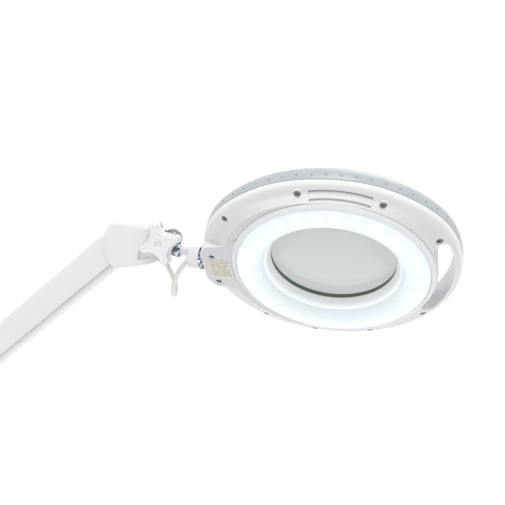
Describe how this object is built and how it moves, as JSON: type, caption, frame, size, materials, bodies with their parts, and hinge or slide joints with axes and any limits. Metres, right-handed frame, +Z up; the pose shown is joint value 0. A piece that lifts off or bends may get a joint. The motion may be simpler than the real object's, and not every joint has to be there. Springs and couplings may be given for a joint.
{
  "type": "magnifying lamp",
  "caption": "Clamp-on bench magnifier: ring-lit oval head with lens, handle slot and lid, on a tilting knuckle and two spring-balanced parallelogram channel arms.",
  "frame": {"origin": "on the base swivel axis, in the face of the clamp's upper jaw that rests on the bench top", "axes": "+X runs in the plane of the arms from the swivel towards the head, +Y points away from the lit side the viewer sees, +Z is up"},
  "size_m": [0.6409, 0.154, 0.9047],
  "materials": {
    "white_paint": "satin",
    "rubber": "matte",
    "white_plastic": "satin gloss",
    "zinc_steel": "zinc plated",
    "dark_steel": "blackened",
    "cable_jacket": "satin",
    "cover_grey": "satin gloss",
    "diffuser": "frosted",
    "lens_glass": "polished",
    "led_board": "satin",
    "led": "gloss",
    "driver_board": "satin",
    "label": "matte",
    "button": "satin"
  },
  "bodies": {
    "clamp": {"clamp_frame": "white_paint", "jaw_liner": "rubber", "socket_bush": "white_plastic"},
    "socket_knob": {"socket_knob": "white_plastic"},
    "clamp_pad": {"clamp_pad": "zinc_steel", "pad_liner": "rubber"},
    "clamp_screw": {"clamp_screw": "zinc_steel", "clamp_handle": "white_paint"},
    "base": {"spigot": "zinc_steel", "base_bracket": "zinc_steel", "base_cover": "white_plastic", "lead_inlet": "rubber", "base_pins": "zinc_steel"},
    "lower_arm": {"lower_channel": "white_paint", "lower_spring": "zinc_steel", "lower_spring_pin": "zinc_steel"},
    "lower_link": {"lower_link": "white_paint"},
    "elbow": {"elbow_bracket": "zinc_steel", "elbow_cover": "white_plastic", "elbow_pins": "zinc_steel", "elbow_bolt": "zinc_steel"},
    "elbow_knob": {"elbow_knob": "white_plastic"},
    "upper_arm": {"upper_channel": "white_paint", "upper_spring": "zinc_steel", "upper_spring_pin": "zinc_steel"},
    "upper_link": {"upper_link": "white_paint"},
    "end_block": {"end_bracket": "zinc_steel", "end_cover": "white_plastic", "end_pins": "zinc_steel", "tilt_bolt": "zinc_steel", "tilt_washers": "zinc_steel", "cable_bush": "white_plastic", "cable_loop": "cable_jacket"},
    "star_knob": {"star_knob": "white_plastic"},
    "knuckle": {"tilt_tongue": "zinc_steel", "neck_rod": "white_paint", "neck_collar": "white_plastic", "neck_washer": "zinc_steel", "neck_bolt": "zinc_steel"},
    "head": {"bottom_shell": "white_plastic", "top_cover": "cover_grey", "ring_bezel": "white_plastic", "diffuser_ring": "diffuser", "lens_housing": "white_plastic", "lens": "lens_glass", "lens_gasket": "rubber", "lens_retainer": "white_plastic", "led_board": "led_board", "led_chips": "led", "led_driver": "driver_board", "neck_block": "zinc_steel", "shell_screws": "dark_steel", "rating_plate": "label", "button_frame": "white_plastic", "lid_pin": "zinc_steel"},
    "power_button": {"power_button": "button"},
    "lens_lid": {"lens_lid": "white_plastic"}
  },
  "joints": [
    {"name": "clamp_travel", "type": "slide", "parent": "clamp", "child": "clamp_pad", "axis": [0, 0, 1], "range_m": [-0.026, 0.026]},
    {"name": "clamp_screw_turn", "type": "hinge", "parent": "clamp_pad", "child": "clamp_screw", "pos_m": [0, 0, -0.1], "axis": [0, 0, 1], "range_deg": [-5554.3, 5554.3]},
    {"name": "socket_knob_turn", "type": "hinge", "parent": "clamp", "child": "socket_knob", "pos_m": [0, -0.02, 0.028], "axis": [0, 1, 0], "continuous": true},
    {"name": "base_swivel", "type": "hinge", "parent": "clamp", "child": "base", "pos_m": [0, 0, 0.04], "axis": [0, 0, 1], "range_deg": [-170, 170]},
    {"name": "lower_lift", "type": "hinge", "parent": "base", "child": "lower_arm", "pos_m": [-0.0105, 0, 0.072], "axis": [0, -1, 0], "range_deg": [-55, 15]},
    {"name": "lower_link_turn", "type": "hinge", "parent": "base", "child": "lower_link", "pos_m": [0.0105, 0, 0.072], "axis": [0, -1, 0], "range_deg": [-56, 16]},
    {"name": "elbow_level", "type": "hinge", "parent": "lower_arm", "child": "elbow", "pos_m": [-0.2005, 0, 0.40109], "axis": [0, -1, 0], "range_deg": [-16, 56]},
    {"name": "elbow_knob_turn", "type": "hinge", "parent": "elbow", "child": "elbow_knob", "pos_m": [-0.2035, -0.02, 0.42709], "axis": [0, 1, 0], "continuous": true},
    {"name": "upper_lift", "type": "hinge", "parent": "elbow", "child": "upper_arm", "pos_m": [-0.1885, 0, 0.44909], "axis": [0, -1, 0], "range_deg": [-53, 16]},
    {"name": "upper_link_turn", "type": "hinge", "parent": "elbow", "child": "upper_link", "pos_m": [-0.1885, 0, 0.42809], "axis": [0, -1, 0], "range_deg": [-54, 17]},
    {"name": "end_level", "type": "hinge", "parent": "upper_arm", "child": "end_block", "pos_m": [0.10889, 0, 0.68564], "axis": [0, -1, 0], "range_deg": [-17, 54]},
    {"name": "star_knob_turn", "type": "hinge", "parent": "end_block", "child": "star_knob", "pos_m": [0.15389, -0.02, 0.67914], "axis": [0, 1, 0], "continuous": true},
    {"name": "head_tilt", "type": "hinge", "parent": "end_block", "child": "knuckle", "pos_m": [0.15389, 0, 0.67914], "axis": [0, -1, 0], "range_deg": [-60, 75], "deforming": ["cable_loop"]},
    {"name": "head_swivel", "type": "hinge", "parent": "knuckle", "child": "head", "pos_m": [0.18689, 0, 0.66314], "axis": [1, 0, 0], "range_deg": [-120, 160]},
    {"name": "power_button_press", "type": "slide", "parent": "head", "child": "power_button", "axis": [0, -0.766, -0.6428], "range_m": [0, 0.0015], "stiffness_N_per_m": 400},
    {"name": "lens_lid_open", "type": "hinge", "parent": "head", "child": "lens_lid", "pos_m": [0.23489, 0.02068, 0.6805], "axis": [0, -0.6428, 0.766], "range_deg": [0, 105]}
  ],
  "couplings": [
    {"joint": "clamp_screw_turn", "follows": "clamp_travel", "rad_per_m": 3590.4},
    {"joint": "lower_link_turn", "follows": "lower_lift", "ratio": 1},
    {"joint": "elbow_level", "follows": "lower_lift", "ratio": -1},
    {"joint": "upper_link_turn", "follows": "upper_lift", "ratio": 1},
    {"joint": "end_level", "follows": "upper_lift", "ratio": -1}
  ]
}
